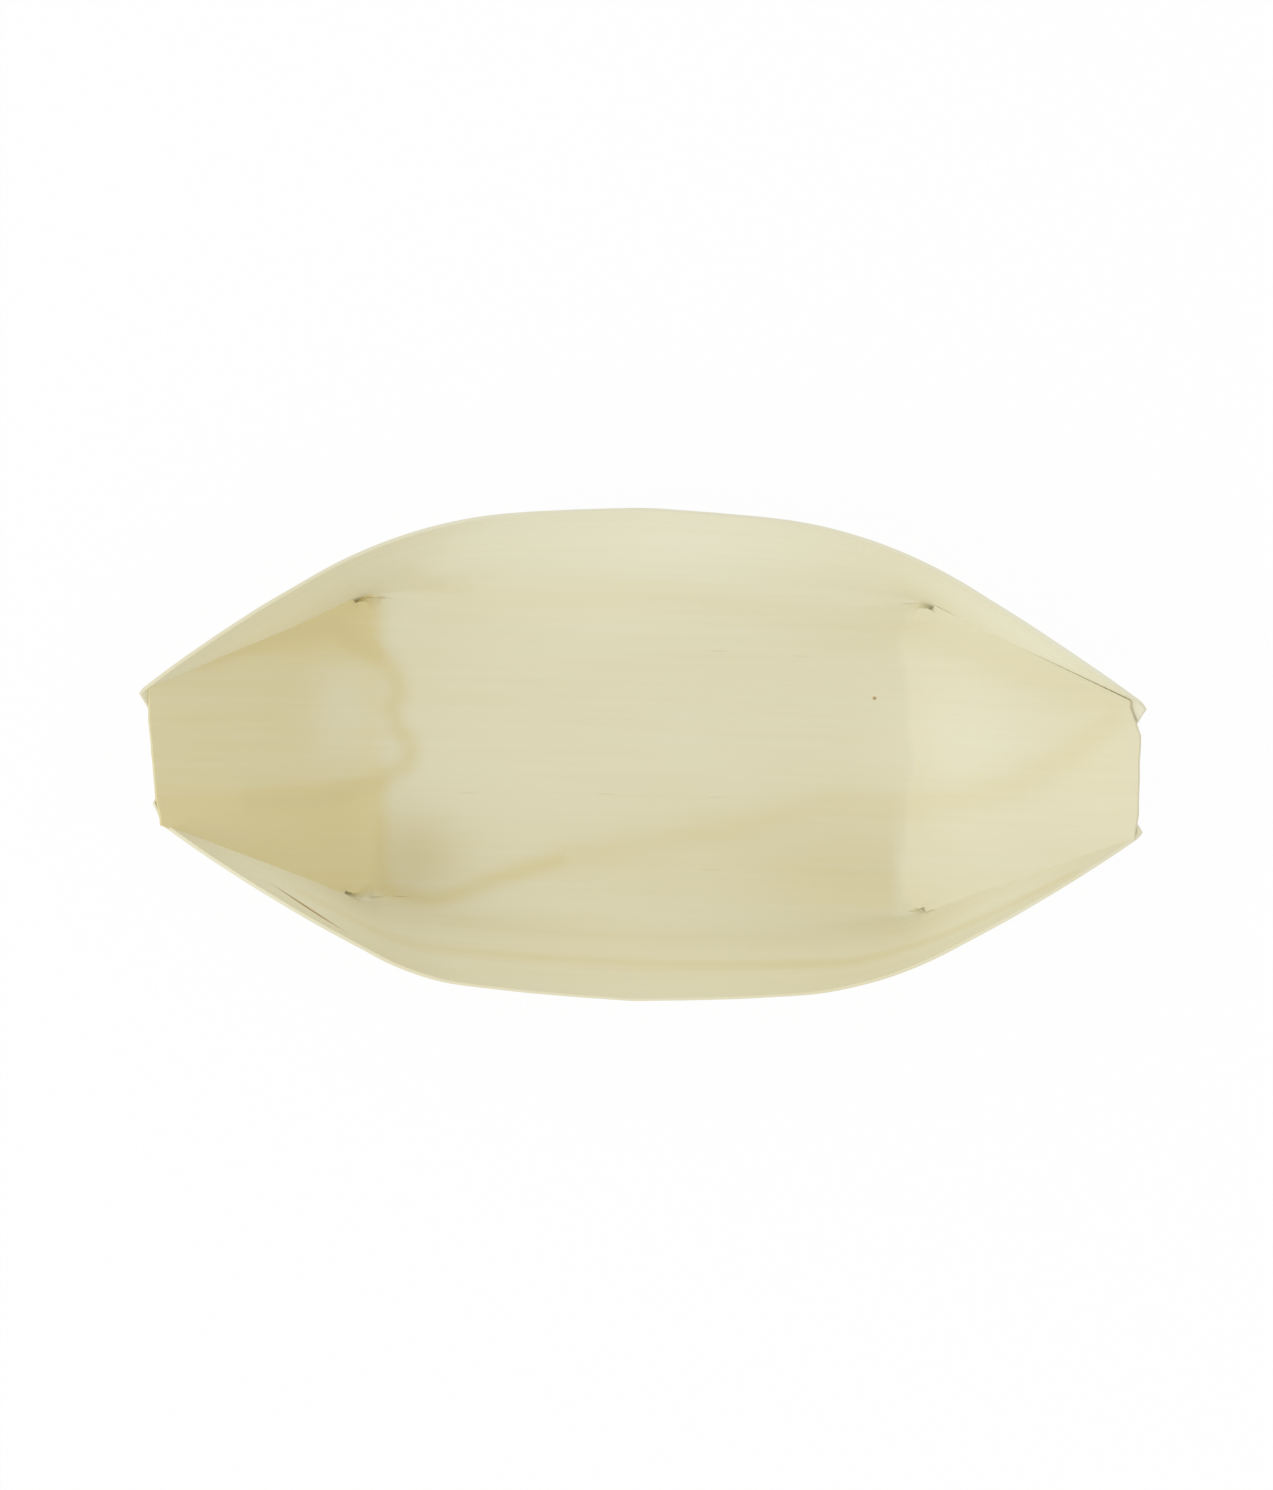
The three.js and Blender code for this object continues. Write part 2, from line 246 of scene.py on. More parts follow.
CORNERS = {
    (1, 1): {**RIGHT_END, "laps": True, "slit": 26.5, "narrowing": 5.8, "lean": 7.8, "rim_bend": 19,
             "tip": 10.7, "trim": 2.2, "trim_run": 4.8, "slant": 0, "wing_end": FULL_WING},
    (1, -1): {**RIGHT_END, "laps": False, "slit": 26.1, "narrowing": 6.6, "lean": 5.6, "rim_bend": 14.9,
              "tip": 10.3, "trim": 0.5, "trim_run": 3, "slant": 0, "wing_end": FULL_WING},
    (-1, 1): {**LEFT_END, "laps": False, "slit": 24.9, "narrowing": 9.2, "lean": 6.2, "rim_bend": 19.3,
              "tip": 8.8, "trim": 0.6, "trim_run": 4.8, "slant": -LEFT_SLANT, "wing_end": FULL_WING},
    (-1, -1): {**LEFT_END, "laps": True, "slit": 26.1, "narrowing": 11.2, "lean": 10.8, "rim_bend": 8.6,
               "tip": 12.1, "trim": 0.5, "trim_run": 3, "slant": LEFT_SLANT, "wing_end": SHORT_WING},
}
for corner in CORNERS.values():
    corner["foot"] = corner["slit"] + SLIT_WIDTH / 2
    corner["tongue"] = corner["slit"] - SLIT_WIDTH / 2
print("blank, in mm:", 2 * BLANK_HALF_LENGTH, "by", 2 * BLANK_HALF_WIDTH)

# %% [markdown]
# ## Folding
#
# A cloth solver could bend the sheet, but veneer hardly stretches and its folds are known. So
# each fold is a small function that takes a place on the flat sheet to its place on the boat:
# a strip that turns on a radius, the curling wall and the ramp. `bent` is the one they share.

# %% Fold functions
def clamp(value, low, high):
    return min(max(value, low), high)


def ease(value):
    part = clamp(value, 0, 1)
    return part * part * (3 - 2 * part)


def spread(index, stops):
    for (low, start), (high, stop) in zip(stops, stops[1:]):
        if index <= high:
            return start + (stop - start) * (index - low) / (high - low)
    return stops[-1][1]


def bent(length, start, radius, angle):
    arc = radius * angle
    turned = clamp(length - start, 0, arc) / radius
    beyond = max(length - start - arc, 0)
    forward = min(length, start) + radius * math.sin(turned) + beyond * math.cos(angle)
    return forward, radius * (1 - math.cos(turned)) + beyond * math.sin(angle)


def blank_edge(a, corner):
    return BLANK_HALF_WIDTH - corner["narrowing"] * (abs(a) / BLANK_HALF_LENGTH) ** BLANK_BOW_POWER


def section(a, corner):
    change = min(abs(a) / SLIT_START, 1) ** WALL_CHANGE_POWER
    angle = WALL_ANGLES[0] + (WALL_ANGLES[1] - WALL_ANGLES[0]) * change
    radius = WALL_BENDS[1] + (WALL_BENDS[0] - WALL_BENDS[1]) * (1 - change)
    floor = corner["foot"] - (corner["foot"] - FLOOR_HALF_WIDTH) * (1 - change)
    return angle, radius, floor


def fold_start(corner):
    return FOLD_X - corner["fold"] * math.tan(RAMP_ANGLE / 2)


def wall_point(a, b, corner):
    angle, radius, floor = section(a, corner)
    forward, up = bent(b, floor, radius, angle)
    lift = bent(min(a, SLIT_START), fold_start(corner), corner["fold"], RAMP_ANGLE)[1]
    return Vector((a, forward, VENEER / 2 + up + lift))


def tongue_point(a, b, corner):
    forward, up = bent(a, fold_start(corner), corner["fold"], RAMP_ANGLE)
    return Vector((forward, b, VENEER / 2 + up))


def tongue_half_width(a, corner):
    taper = clamp((a - WRAP_START) / (corner["tongue_end"] - WRAP_START), 0, 1)
    filled = spread(taper, list(zip((0, 1), TONGUE_FILLS_WRAP))) * ease((a - SLIT_START - 2) / 4)
    return corner["tongue"] + (corner["tip"] - corner["tongue"]) * taper + filled


for place, corner in CORNERS.items():
    print("corner", place, "narrows to", round(tongue_half_width(corner["tongue_end"], corner), 1), "mm")

# %% [markdown]
# ## The wings
#
# Each wing is a flat leaf with one crease, which runs from the foot of the slit to the tip of the
# tongue and lets the flap lie behind it. The crease could be turned by eye, but then the flap
# would not lie flat on the tongue. So `set_wing` works it out from three places: the foot, the
# tip and the rim where the wall stops curving. Where wall and wing meet, the bend is soft at the
# rim and tight at the foot.

# %% Wing functions
def set_wing(corner):
    up = Vector((-math.sin(RAMP_ANGLE), 0, math.cos(RAMP_ANGLE)))
    ramp = Vector((math.cos(RAMP_ANGLE), 0, math.sin(RAMP_ANGLE)))
    across = Vector((0, 1, 0))
    start = fold_start(corner)
    length = corner["tongue_end"] - start - corner["fold"] * RAMP_ANGLE + FOLD_X - start
    pivot = wall_point(WRAP_START, corner["foot"], corner)
    lean_top = WRAP_START - corner["lean"]
    rim = blank_edge(lean_top, corner)
    edge = Vector((length - WRAP_BEYOND_SLIT + FOLD_BEYOND_SLIT, corner["tip"] - corner["tongue"], 0))
    edge.normalize()
    tip = (Vector((FOLD_X, 0, VENEER / 2)) + ramp * (length - edge.y * TONGUE_TO_WRAP)
           + across * (corner["tip"] + edge.x * TONGUE_TO_WRAP) - up * LAYER)
    crease = (tip - pivot).normalized()
    to_rim = (wall_point(lean_top, rim, corner) - pivot).normalized()
    lean = math.atan2(corner["lean"], rim - corner["foot"])
    turn = math.pi / 2 + lean - math.acos(to_rim.dot(crease))
    wing = (to_rim - crease * to_rim.dot(crease)).normalized()
    flap = (across - crease * across.dot(crease)).normalized()
    out = crease.cross(flap)
    wrap = math.atan2(wing.dot(out), wing.dot(flap))
    corner.update(pivot=pivot, rim=rim, crease=crease, turn=turn, flap=flap, out=out, wrap=wrap)


def leaf_point(a, b, corner):
    da, db, turn = a - WRAP_START, b - corner["foot"], corner["turn"]
    on_crease = da * math.cos(turn) + db * math.sin(turn)
    over = db * math.cos(turn) - da * math.sin(turn)
    forward, up = bent(over, -WRAP_BEND * corner["wrap"] / 2, WRAP_BEND, corner["wrap"])
    lap = LAYER * ease((-over - LAP_START) / LAP_RUN) if corner["laps"] else 0
    return (corner["pivot"] + corner["crease"] * on_crease + corner["flap"] * forward
            + corner["out"] * (up - lap))


def side_point(a, b, corner):
    height = max((b - corner["foot"]) / (corner["rim"] - corner["foot"]), 0)
    bend_at = WRAP_START - corner["lean"] * height
    softness = WING_BEND_FOOT + (corner["rim_bend"] - WING_BEND_FOOT) * height
    beyond = a - bend_at
    turned = 0
    if beyond > softness:
        turned = beyond
    elif beyond > -softness:
        turned = (beyond + softness) ** 2 / (4 * softness)
    leaf_start = leaf_point(bend_at, b, corner)
    mismatch = leaf_start - wall_point(bend_at, b, corner)
    return (wall_point(bend_at + beyond - turned, b, corner) + leaf_point(bend_at + turned, b, corner)
            - leaf_start + mismatch * ease((beyond - softness) / WING_FADE))


for corner in CORNERS.values():
    set_wing(corner)
print("wing wraps, in degrees:", [round(math.degrees(corner["wrap"]), 1) for corner in CORNERS.values()])

# %% [markdown]
# ## The flat blank
#
# The maker cuts the pattern flat, and so does this step. The middle of each quarter is one grid,
# its half of the tongue is another and its wing is a third. One even grid for the whole sheet
# would be simpler, but a fold that runs across its faces would look jagged. So each grid is slid
# on the flat until its rows follow the slits and the creases. The cut edges waver a little, as
# shears leave them.

# %% Rows and columns of a quarter
FLOOR_ROWS = 20
STRIP_ROWS = 3
BEND_ROWS = 12
WALL_ROWS = 18
FLAP_ROWS = 10
PANEL_COLUMNS = 48
LEAD_COLUMNS = 6
WING_COLUMNS = 42
CROSSING_COLUMNS = 8
FLAP_END_COLUMNS = 6
TONGUE_COLUMNS = 60
STRIP = 5
CUT_WAVER = 0.22


def cut_edge(a, side, corner):
    waver = noise.noise(Vector((a / 14, 3.1, side))) + 0.7 * noise.noise(Vector((a / 4, 8.7, side)))
    return blank_edge(a, corner) - CUT_WAVER * clamp(0.5 + 0.35 * waver, 0, 1)


def panel_row(a, index, side, corner):
    angle, radius, floor = section(a, corner)
    strip = SLIT_WIDTH + (STRIP - SLIT_WIDTH) * (1 - abs(a) / SLIT_START)
    bend = FLOOR_ROWS + STRIP_ROWS
    places = [(0, 0), (FLOOR_ROWS, floor - strip), (bend, floor), (bend + BEND_ROWS, floor + radius * angle),
              (bend + BEND_ROWS + WALL_ROWS, cut_edge(a, side, corner))]
    return spread(index, places)


def crease_band(a, corner):
    line = corner["foot"] + (abs(a) - WRAP_START) * math.tan(corner["turn"])
    half = WRAP_BEND * corner["wrap"] / 2 / math.cos(corner["turn"])
    return line - half, line + half


def wing_row(a, index, side, corner):
    angle, radius, floor = section(a, corner)
    bend_start, bend_end = crease_band(a, corner)
    low = max(corner["foot"], bend_start)
    high = max(corner["foot"] + radius * angle, bend_end)
    places = [(0, corner["foot"]), (FLAP_ROWS, low), (FLAP_ROWS + BEND_ROWS, high),
              (FLAP_ROWS + BEND_ROWS + WALL_ROWS, cut_edge(a, side, corner))]
    return min(spread(index, places), cut_edge(a, side, corner))


def rim_crossing(corner, edge_of_bend):
    low, high = WRAP_START, corner["wing_end"]
    while high - low > 1e-6:
        middle = (low + high) / 2
        if crease_band(middle, corner)[edge_of_bend] < blank_edge(middle, corner):
            low = middle
        else:
            high = middle
    return high


def wing_stops(corner):
    reached, left = rim_crossing(corner, 1), rim_crossing(corner, 0)
    stops = [(0, SLIT_START), (LEAD_COLUMNS, WRAP_START), (LEAD_COLUMNS + WING_COLUMNS, reached)]
    stops.append((stops[-1][0] + CROSSING_COLUMNS, left))
    stops.append((stops[-1][0] + FLAP_END_COLUMNS, corner["wing_end"]))
    return stops


crossings = [round(rim_crossing(corner, 1), 1) for corner in CORNERS.values()]
print("the rim runs out over the crease at", crossings)

# %% [markdown]
# ## Laying out the grids
#
# Each grid starts as Blender's own grid of even squares. `lay_grid` then gives every point the
# flat place that its row and column stand for, and turns the faces up if they came out mirrored.

# %% Twelve grids
def lay_grid(name, columns, rows, place):
    bpy.ops.object.select_all(action="DESELECT")
    bpy.ops.mesh.primitive_grid_add(x_subdivisions=columns, y_subdivisions=rows, size=1)
    grid = bpy.context.object
    grid.name = name
    for vertex in grid.data.vertices:
        along, across = round((vertex.co.x + 0.5) * columns), round((vertex.co.y + 0.5) * rows)
        vertex.co = Vector((*place(along, across), 0)) * MM
    if sum(face.normal.z for face in grid.data.polygons) < 0:
        bpy.ops.object.mode_set(mode="EDIT")
        bpy.ops.mesh.select_all(action="SELECT")
        bpy.ops.mesh.flip_normals()
        bpy.ops.object.mode_set(mode="OBJECT")
    print(name, len(grid.data.polygons), "faces")
    return grid


def quarter(end, side, corner):
    def panel_place(along, across):
        a = SLIT_START * along / PANEL_COLUMNS
        return a * end, panel_row(a, across, side, corner) * side

    def wing_place(along, across):
        a = spread(along, wing_stops(corner))
        return a * end, wing_row(a, across, side, corner) * side

    def tongue_place(along, across):
        a = SLIT_START + (corner["tongue_end"] - SLIT_START) * along / TONGUE_COLUMNS
        reach = clamp((a - WRAP_START) / (corner["tongue_end"] - WRAP_START), 0, 1)
        taper = (corner["tongue"] - corner["tip"]) / (corner["tongue_end"] - WRAP_START)
        b = tongue_half_width(a, corner) / (1 - taper * corner["slant"] * reach) * across / FLOOR_ROWS
        cut = corner["slant"] * b + corner["trim"] * clamp((b - corner["tip"]) / corner["trim_run"] + 1, 0, 1)
        cut += 0.15 * (1 + noise.noise(Vector((b * side / 3, end * 5, 0)))) * (1 - across / FLOOR_ROWS)
        return (a - cut * reach) * end, b * side

    name = {1: "right_", -1: "left_"}[end] + {1: "upper_", -1: "lower_"}[side]
    panel_rows = FLOOR_ROWS + STRIP_ROWS + BEND_ROWS + WALL_ROWS
    return [lay_grid(name + "panel", PANEL_COLUMNS, panel_rows, panel_place),
            lay_grid(name + "tongue", TONGUE_COLUMNS, FLOOR_ROWS, tongue_place),
            lay_grid(name + "wing", wing_stops(corner)[-1][0], FLAP_ROWS + BEND_ROWS + WALL_ROWS, wing_place)]


grids = []
for (end, side), corner in CORNERS.items():
    grids += quarter(end, side, corner)

# %% [markdown]
# ## Joining the pattern
#
# The real blank is one sheet. The twelve grids meet in the same rows, so joining them and merging
# the points that coincide makes one sheet too, while the slits stay open.

# %% Joining
bpy.ops.object.select_all(action="DESELECT")
for grid in grids:
    grid.select_set(True)
bpy.context.view_layer.objects.active = grids[0]
bpy.ops.object.join()
boat = bpy.context.object
boat.name = "folded_boat"
bpy.ops.object.mode_set(mode="EDIT")
bpy.ops.mesh.select_all(action="SELECT")
bpy.ops.mesh.remove_doubles(threshold=0.005 * MM)
bpy.ops.mesh.dissolve_degenerate(threshold=0.001 * MM)
bpy.ops.object.mode_set(mode="OBJECT")
print("flat pattern:", len(boat.data.vertices), "points,", len(boat.data.polygons), "faces")

# %% [markdown]
# ## The grain's map
#
# The growth rings were in the wood before it was folded, so the figure must run on over every
# fold. A pattern laid on the finished boat could not do that. Instead the flat sheet is its own
# map: each point keeps its flat place as a UV coordinate, before anything is bent.

# %% Flat places as a UV map
MAP_SPAN = 200
flat_places = [(vertex.co.x / MM, vertex.co.y / MM) for vertex in boat.data.vertices]
while boat.data.uv_layers:
    boat.data.uv_layers.remove(boat.data.uv_layers[0])
blank_map = boat.data.uv_layers.new(name="blank")
for loop in boat.data.loops:
    a, b = flat_places[loop.vertex_index]
    blank_map.data[loop.index].uv = (0.5 + a / MAP_SPAN, 0.5 + b / MAP_SPAN)
print("the map spans", MAP_SPAN, "mm each way")

# %% [markdown]
# ## The figure of the wood
#
# The veneer was cut flat across the trunk, so its rings show as long arches that close towards
# the right. Noise alone makes arches that wander, so the rings are drawn as a few named lines on
# the flat sheet, each a wide soft band of yellower late wood. A point's ring value falls off
# with its distance from the nearest line.

# %% Ring lines
INNER_ARCH = [(-80, 15), (-66, 18.5), (-54, 20), (-46, 15.5), (-42.4, 12), (-41.6, 9.2), (-42.8, 6),
              (-41.6, 3), (-39.2, -0.8), (-40, -3.6), (-46.5, -7.4), (-56, -9.5), (-70, -10)]
LEFT_ARC = [(-43, -25.2), (-38, -26.2), (-34, -26.5), (-29, -24.8), (-24, -22.6), (-19, -20.8), (-13, -19)]
LOWER_ARCH = [(-13, -19), (-2.5, -16.5), (20, -11.6), (31, -8.4), (45, -8.3), (56, -6.5), (66.8, -4),
              (80, 3), (87, 9)]
UPPER_ARCH = [(-41, 33), (-36, 28.3), (-28, 25), (-10, 27), (3, 27.3), (17, 25), (36, 22.6), (45, 23),
              (66.8, 16.7), (88, 10)]
OUTER_LINE = [(-60, -38), (-30, -39), (-14, -39.2), (0, -39.4), (20, -39.8), (36, -40.2), (46, -39.6),
              (60, -42), (80, -43)]
LOWER_LINE = [(-30, -31), (0, -33), (20, -33.5), (44, -32.5), (60, -35), (84, -39)]
RINGS = [(INNER_ARCH, 1.9, 0.42), (LEFT_ARC, 1.7, 0.42), (LOWER_ARCH, 2.8, 0.2), (UPPER_ARCH, 3.2, 0.14),
         (OUTER_LINE, 1.3, 0.26), (LOWER_LINE, 2.4, 0.1)]


def line_gap(a, b, line):
    here = Vector((a, b))
    nearest = 1e9
    for first, second in zip(line, line[1:]):
        start, run = Vector(first), Vector(second) - Vector(first)
        part = clamp((here - start).dot(run) / run.length_squared, 0, 1)
        nearest = min(nearest, (here - start - run * part).length)
    return nearest


def ring_at(a, b):
    return max(amount * math.exp(-(line_gap(a, b, line) / width) ** 2) for line, width, amount in RINGS)


print("rings drawn:", len(RINGS))

# %% [markdown]
# ## Slow changes in the wood, and painted light and shade
#
# Under the rings the colour changes slowly. Part of it is the wood's own tone: creamy along the
# upper edge, where a painted sheen adds to it, and yellow on the left tongue, which is partly
# painted shade, since that tongue faces away from the lamp. The rest is painted light and shade.
# The raised walls and wings and the right tongue are painted brighter, as if light passed through
# the thin veneer and the lamp fell on them, and the floor is painted a little darker and yellower
# low down, where the walls shade it. Noise would put such changes anywhere. So they are soft
# patches, each with a place, a reach and two amounts, how much yellower and how much darker.
# Yellow and painted shade are kept as two attributes of the sheet, which the finish reads.

# %% Soft patches of wood tone and painted light and shade
PLAIN_YELLOW = 0.36
# The painted shade starts from this level everywhere, so that the patches can paint light as well as shade.
PLAIN_SHADE = 0.26
RING_SHADE = 0.2
# Painted light: the second amounts paint the walls, wings and right tongue brighter, as if light passed
# through the thin veneer and the lamp fell on them. The first amounts are mostly the wood's own tone, and the
# upper wall's paler tone is partly a painted sheen.
TONE_AND_PAINTED_LIGHT_PATCHES = [
    ("upper wall", 5, 40, 75, 15, -0.28, -0.21),
    ("upper right wing", 74, 38, 22, 12, -0.22, -0.17),
    ("upper left wing", -68, 34, 18, 12, 0.22, -0.17),
    ("lower wall", 0, -40, 90, 12, 0.06, -0.16),
    ("lower right wing", 68, -36, 20, 10, -0.2, -0.18),
    ("lower left wing", -64, -38, 18, 10, -0.24, -0.2),
    ("right tongue's foot", 56, 2, 14, 18, -0.14, -0.15),
    ("right tongue's tip", 84, 0, 12, 12, 0.06, -0.1),
    ("oval on the left tongue", -52, 6, 6, 9, -0.36, -0.08),
]
# Painted shade: these darken and yellow the floor low down and in its lower left corner, where the walls
# shade it, and lighten it a little at the upper left, by the fold.
FLOOR_PAINTED_SHADE_PATCHES = [
    ("lower left", -38, -19, 8, 7, 0.34, 0.2),
    ("lower right", 36, -19, 22, 9, 0.28, 0.14),
    ("lower middle", -2, -19, 22, 8, 0.12, 0.06),
    ("upper left", -42, 22, 4, 4, -0.1, -0.04),
]


def patch_sum(a, b, patches, which):
    total = 0
    for name, middle_a, middle_b, reach_a, reach_b, *amounts in patches:
        away = ((a - middle_a) / reach_a) ** 2 + ((b - middle_b) / reach_b) ** 2
        total += amounts[which] * math.exp(-away)
    return total


def between_folds(a, b):
    return 1 - ease((abs(a + 0.5) - 43.5) / 2.5)


# Yellow from the ring bands and the wood's own tone, plus painted shade: the shaded floor patches turn
# yellower, and the left tongue's yellow is partly painted shade, since it faces away from the lamp.
def yellow_at(a, b):
    on_tongue = ease((-41.6 - 0.06 * b - a) / 5) * (1 if abs(b) < 26 else 0)
    strips = 0.26 * ease((abs(b - 4) - 9) / 5)
    patches = patch_sum(a, b, TONE_AND_PAINTED_LIGHT_PATCHES, 0) + patch_sum(a, b, FLOOR_PAINTED_SHADE_PATCHES, 0) * between_folds(a, b)
    return clamp(PLAIN_YELLOW + patches + ring_at(a, b) + on_tongue * (0.38 + strips), 0, 1.1)


# Painted light and shade: the floor patches darken the floor where the walls shade it, the negative amounts
# paint the walls, wings and right tongue brighter, and the ring bands darken the wood as its own colour.
def painted_shade_and_rings_at(a, b):
    patches = patch_sum(a, b, TONE_AND_PAINTED_LIGHT_PATCHES, 1) + patch_sum(a, b, FLOOR_PAINTED_SHADE_PATCHES, 1) * between_folds(a, b)
    return clamp(PLAIN_SHADE + patches + RING_SHADE * ring_at(a, b), 0, 1)


figure_and_painted_shade = boat.data.attributes.new("figure_and_painted_shade", "FLOAT", "POINT")
painted_shade_and_rings = boat.data.attributes.new("painted_shade_and_rings", "FLOAT", "POINT")
for index, (a, b) in enumerate(flat_places):
    figure_and_painted_shade.data[index].value = yellow_at(a, b)
    painted_shade_and_rings.data[index].value = painted_shade_and_rings_at(a, b)
print("mean yellow:", round(sum(point.value for point in figure_and_painted_shade.data) / len(flat_places), 3))

# %% [markdown]
# ## Bending the sheet
#
# Every point now moves from its flat place to its folded one. The right fold cracked a little
# as it was made, so its line wanders by about a millimetre. That line is a short list of places
# across the fold and how far it has wandered there, and the height it adds dies out up the ramp.

# %% Folding every point
RAGGED_FOLD = [(-25.5, 2.2), (-23, 0.7), (-20.5, 0.3), (-13, 1.1), (-6, 0.8), (-2.3, 1.3), (0, 2),
               (3, 1), (5.5, 0.6), (13.7, 0.5), (16.6, -0.8), (19.5, -1.5), (24, -0.1)]
RAGGED_FADE = 7


def fold_waver(b, end):
    if end < 0:
        return 0
    fine = 0.25 * noise.noise(Vector((b / 1.3, 4.2, 0)))
    return spread(clamp(b, RAGGED_FOLD[0][0], RAGGED_FOLD[-1][0]), RAGGED_FOLD) + fine


def folded(a, b):
    end, side = (1 if a >= 0 else -1), (1 if b >= 0 else -1)
    corner = CORNERS[end, side]
    u, v = abs(a), abs(b)
    if v < corner["slit"] and (u > SLIT_START or v <= section(u, corner)[2]):
        waver = fold_waver(b, end) * ease((corner["slit"] - v) / 1.5)
        fade = math.exp(-max(u - FOLD_X - waver, 0) / RAGGED_FADE)
        place = tongue_point(u - waver * fade, v, corner)
        place.x += waver * fade
    else:
        place = side_point(u, v, corner)
    return Vector((place.x * end, place.y * side, place.z)) * MM


solid_low, solid_high = [Vector(corner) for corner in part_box("veneer_boat")]
for vertex, (a, b) in zip(boat.data.vertices, flat_places):
    vertex.co = folded(a, b)
low = [min(vertex.co[axis] for vertex in boat.data.vertices) for axis in range(3)]
high = [max(vertex.co[axis] for vertex in boat.data.vertices) for axis in range(3)]
middle_shift = Vector(((solid_low.x + solid_high.x - low[0] - high[0]) / 2,
                       (solid_low.y + solid_high.y - low[1] - high[1]) / 2, 0))
for vertex in boat.data.vertices:
    vertex.co += middle_shift
print("folded, in mm:", [round((top - bottom) / MM, 1) for bottom, top in zip(low, high)])

# %% [markdown]
# ## Thickness
#
# The sheet is given its 0.6 mm by Solidify, half to each side, so that the middle of the sheet
# stays where the folds put it. The wall follows every bend and the slits keep their gap.

# %% Solidify
bpy.ops.object.select_all(action="DESELECT")
boat.select_set(True)
bpy.context.view_layer.objects.active = boat
thicken = boat.modifiers.new("veneer", "SOLIDIFY")
thicken.thickness = VENEER * MM
thicken.offset = 0
thicken.use_even_offset = False
thicken.use_quality_normals = True
bpy.ops.object.modifier_apply(modifier=thicken.name)
bpy.ops.object.shade_smooth_by_angle(angle=math.radians(40))
print("veneer boat:", len(boat.data.polygons), "faces")

# %% [markdown]
# ## The veneer finish
#
# Pale softwood veneer is a creamy white that turns yellow in the ring bands. Its fibres run along
# the sheet and hardly show. They could be modelled, but they are far finer than the sheet is
# thick, so they come from noise that is stretched along the sheet, in two sizes: one for soft
# streaks and one for hair lines. The bands come from the stored figure, which also carries the
# yellowing painted into shaded places, and a slow cloud keeps them from looking drawn. The stored
# painted shade then darkens the wood, and is lowered where light is painted on.

# %% Veneer material
veneer = bpy.data.materials.new("pale_veneer")
veneer.use_nodes = True
tree = veneer.node_tree
tree.nodes.clear()
surface = add_node(tree, "ShaderNodeOutputMaterial")
wood = add_node(tree, "ShaderNodeBsdfPrincipled", {"Roughness": 0.62, "Specular IOR Level": 0.3})
uv = add_node(tree, "ShaderNodeUVMap", uv_map="blank")


def stretched_noise(along, across, detail=4.0):
    mapping = add_node(tree, "ShaderNodeMapping", {"Vector": uv.outputs[0], "Scale": (along, across, 1)})
    made = add_node(tree, "ShaderNodeTexNoise", {
        "Vector": mapping.outputs[0], "Scale": 1.0, "Detail": detail, "Roughness": 0.55})
    return made.outputs[0]


def from_range(value, low, high, to_low, to_high):
    made = add_node(tree, "ShaderNodeMapRange", {
        "Value": value, "From Min": low, "From Max": high, "To Min": to_low, "To Max": to_high})
    return made.outputs[0]


PALE_WOOD = (0.85, 0.833, 0.668, 1)
YELLOW_WOOD = (0.805, 0.706, 0.385, 1)
SHADED = (0.6, 0.6, 0.55, 1)
FIBRE = (0.70, 0.62, 0.40, 1)
# The brown of the marks below, which is also painted shade at the slit ends.
BROWN_MARK_AND_SLIT_SHADE = (0.4, 0.24, 0.07, 1)
streaks = stretched_noise(5, 150)
hairs = stretched_noise(14, 900, detail=3)
clouds = stretched_noise(5, 16, detail=2)
figure_and_painted_shade_value = add_node(tree, "ShaderNodeAttribute", attribute_name="figure_and_painted_shade").outputs["Fac"]
painted_shade_and_rings_value = add_node(tree, "ShaderNodeAttribute", attribute_name="painted_shade_and_rings").outputs["Fac"]
cloudy = do_sum(tree, "ADD", figure_and_painted_shade_value, from_range(clouds, 0.3, 0.7, -0.06, 0.06))
broken = do_sum(tree, "MULTIPLY", cloudy, from_range(streaks, 0.3, 0.7, 0.88, 1.12))
banded = blend_colour(tree, broken, PALE_WOOD, YELLOW_WOOD)
# Painted light and shade: the stored value darkens the wood towards the shaded colour, more on the shaded
# floor and less on the walls, wings and right tongue, which are painted brighter.
with_painted_shade = blend_colour(tree, painted_shade_and_rings_value, banded, SHADED, "MULTIPLY")
streaked = blend_colour(tree, from_range(streaks, 0.45, 0.8, 0, 0.1), with_painted_shade, FIBRE)
coloured = blend_colour(tree, from_range(hairs, 0.55, 0.8, 0, 0.12), streaked, FIBRE)
print("wood colours:", PALE_WOOD[:3], "to", YELLOW_WOOD[:3])

# %% [markdown]
# ## Brown marks, and painted shade at the slits
#
# The wood has a few small brown marks: a crack near the rim, a speck and some short resin streaks.
# The ends of the four slits get thin dark lines as well, which are painted shade in the nearly
# closed gaps. Each is a soft ellipse on the flat sheet. A Mapping node in texture mode moves, turns
# and sizes the flat map so that the ellipse becomes a round spot of reach one, and the distance
# from its middle says how much brown to mix in.

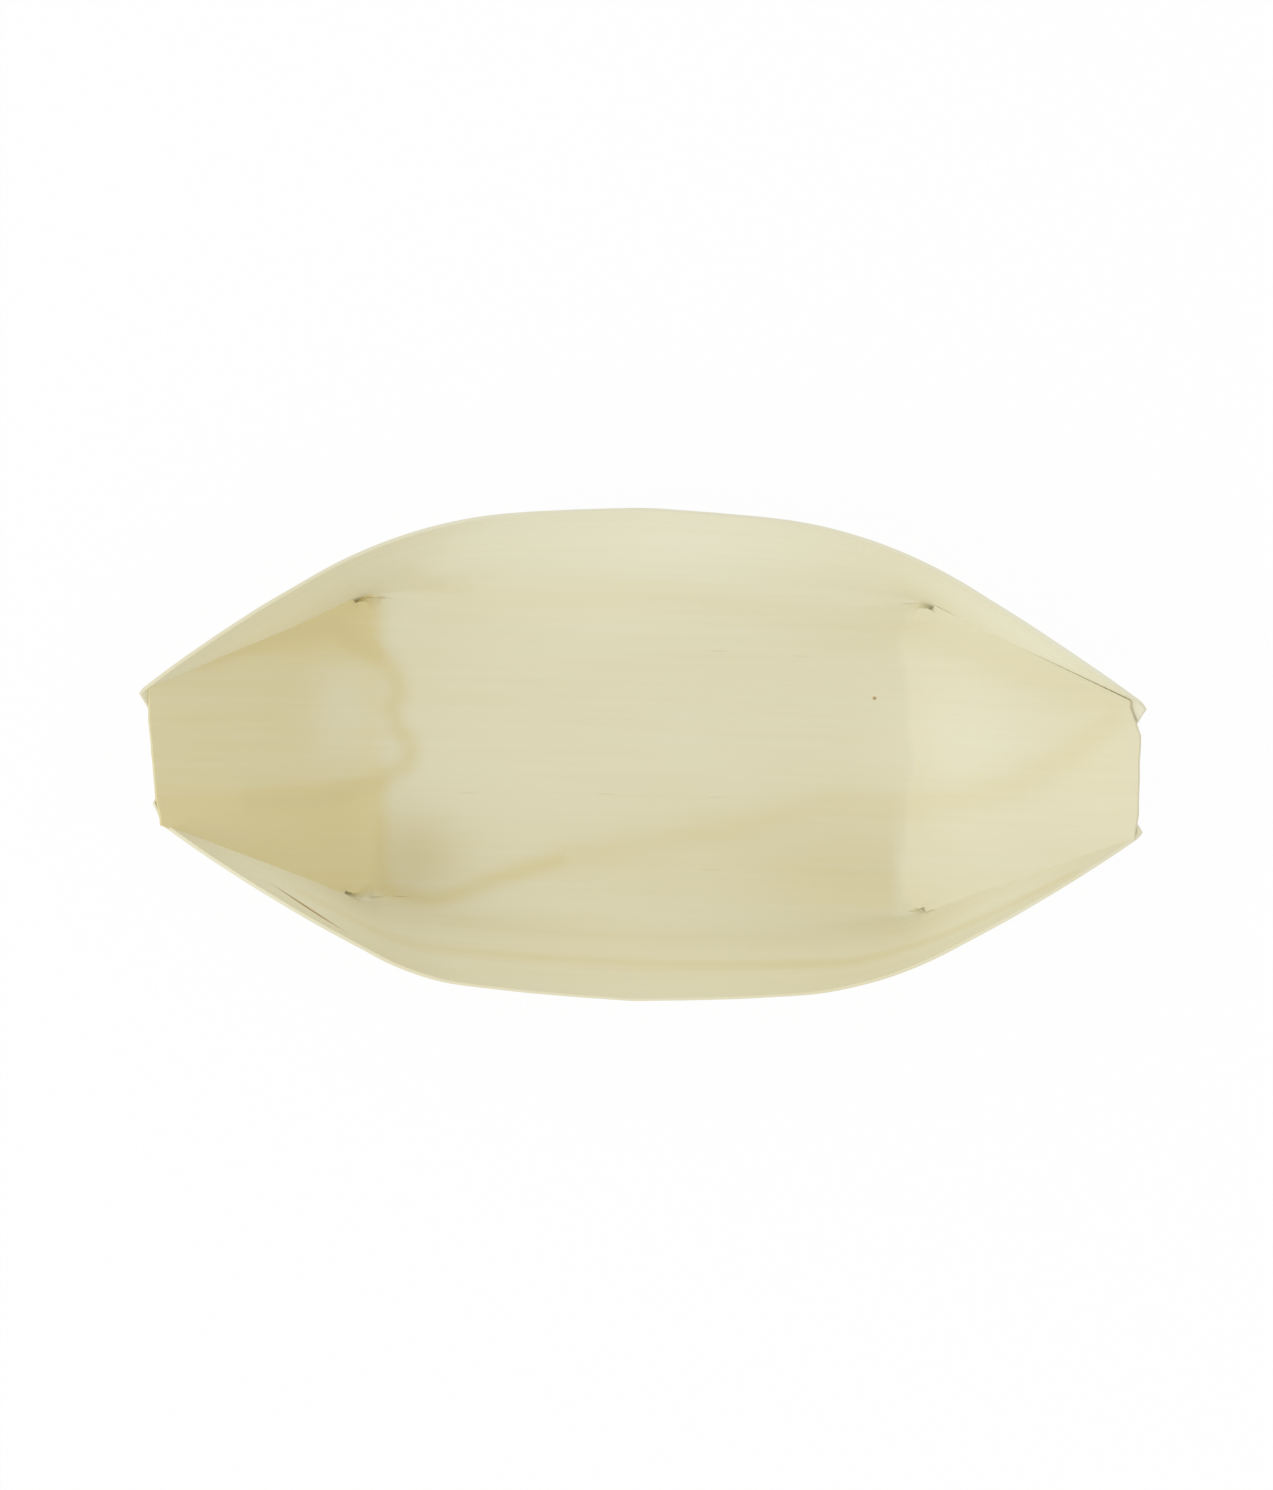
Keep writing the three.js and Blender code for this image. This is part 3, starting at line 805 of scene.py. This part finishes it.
# %% Marks on the sheet
MARKS = [
    ("crack near the rim", -58.5, -43.0, 6.6, 0.36, -14, 1.0),
    ("speck", 39.8, 10.2, 0.34, 0.3, 0, 1.0),
    ("streak", 13.0, 17.5, 1.7, 0.13, 0, 0.15),
    ("streak", 27.0, 17.0, 1.5, 0.13, -3, 0.15),
    ("streak", -29.5, -8.0, 2.0, 0.14, 2, 0.15),
    ("streak", -5.5, -7.5, 1.6, 0.13, 0, 0.15),
    ("streak", 13.5, -7.5, 1.8, 0.14, 2, 0.15),
    ("streak", 12.5, -20.0, 1.7, 0.14, 0, 0.15),
]
# Painted shade: thin dark lines at the four slit ends stand in for the shade in the nearly closed gaps.
for a, b in ((45.4, 26.5), (48.1, -26.1), (-46.7, 24.9), (-40.3, -26.1)):
    MARKS.append(("slit end", a, b, 1.5, 0.09, 0, 0.5))
for name, a, b, half_length, half_width, slant, strength in MARKS:
    spot = add_node(tree, "ShaderNodeMapping", {
        "Vector": uv.outputs[0], "Location": (0.5 + a / MAP_SPAN, 0.5 + b / MAP_SPAN, 0),
        "Rotation": (0, 0, math.radians(slant)), "Scale": (half_length / MAP_SPAN, half_width / MAP_SPAN, 1)},
        vector_type="TEXTURE")
    away = add_node(tree, "ShaderNodeVectorMath", {0: spot.outputs[0]}, operation="LENGTH")
    cover = from_range(away.outputs["Value"], 0.4, 1.3, strength, 0)
    coloured = blend_colour(tree, cover, coloured, BROWN_MARK_AND_SLIT_SHADE)
print("brown marks:", len(MARKS))

# %% [markdown]
# ## A shaved surface
#
# The blade leaves the fibres slightly raised. Bump from the same two noises shows them in the
# light. It is kept low, since the sheet was shaved thin and sanded.

# %% Bump
put(tree, wood.inputs["Base Color"], coloured)
height = do_sum(tree, "ADD", do_sum(tree, "MULTIPLY", hairs, 0.6), do_sum(tree, "MULTIPLY", streaks, 0.4))
bump = add_node(tree, "ShaderNodeBump", {"Strength": 0.15, "Distance": 0.0002, "Height": height})
put(tree, wood.inputs["Normal"], bump.outputs[0])
put(tree, surface.inputs["Surface"], wood.outputs[0])
boat.data.materials.clear()
boat.data.materials.append(veneer)
print("veneer finish:", len(tree.nodes), "nodes")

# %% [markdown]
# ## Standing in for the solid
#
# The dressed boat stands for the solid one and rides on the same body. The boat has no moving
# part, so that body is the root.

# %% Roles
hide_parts("veneer_boat")
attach(boat, "root")
